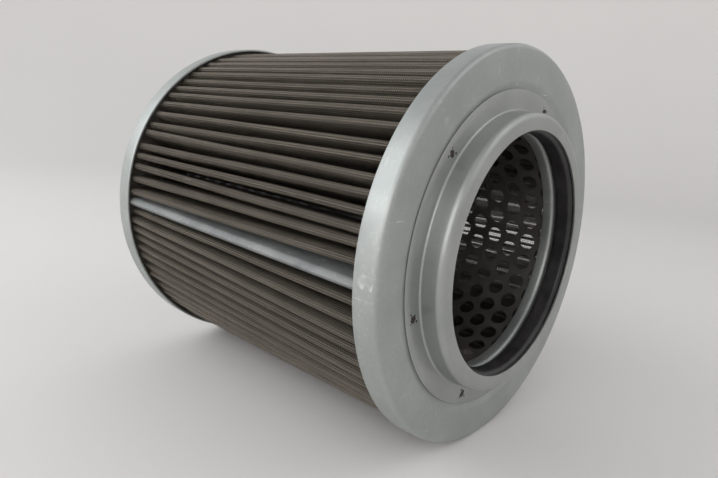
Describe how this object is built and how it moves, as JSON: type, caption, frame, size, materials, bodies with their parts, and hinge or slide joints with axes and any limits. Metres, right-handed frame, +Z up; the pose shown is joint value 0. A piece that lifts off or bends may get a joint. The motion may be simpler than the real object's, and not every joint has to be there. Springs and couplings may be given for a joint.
{
  "type": "suction filter element",
  "caption": "Round hydraulic suction filter element: pleated woven-wire cloth round a perforated core, one closed end cap and one outlet cap with a sealed collar.",
  "frame": {"origin": "centre of the seal's bore, on the filter's axis", "axes": "+X along the filter's axis and out of the outlet, +Z up with the filter lying on its side on the rims of both caps, +Y to the right when looking into the outlet from above the floor"},
  "size_m": [0.1654, 0.15, 0.15],
  "materials": {
    "cap_steel": "satin",
    "collar_steel": "satin",
    "weld_mark": "matte",
    "seal_rubber": "satin",
    "core_steel": "satin",
    "core_weld": "matte",
    "outer_cloth": "matte",
    "filter_cloth": "matte",
    "support_cloth": "matte",
    "clip_steel": "satin",
    "adhesive": "satin"
  },
  "bodies": {
    "root": {"outlet_end_cap": "cap_steel", "outlet_collar": "collar_steel", "collar_spot_welds": "weld_mark", "seal_ring": "seal_rubber", "core_tube": "core_steel", "core_tack_welds": "core_weld", "outer_cloth_layer": "outer_cloth", "filter_cloth_layer": "filter_cloth", "support_cloth_layer": "support_cloth", "side_seam_clip": "clip_steel", "seam_adhesive": "adhesive", "outlet_adhesive_bed": "adhesive", "closed_adhesive_bed": "adhesive", "closed_end_cap": "cap_steel"}
  },
  "joints": []
}
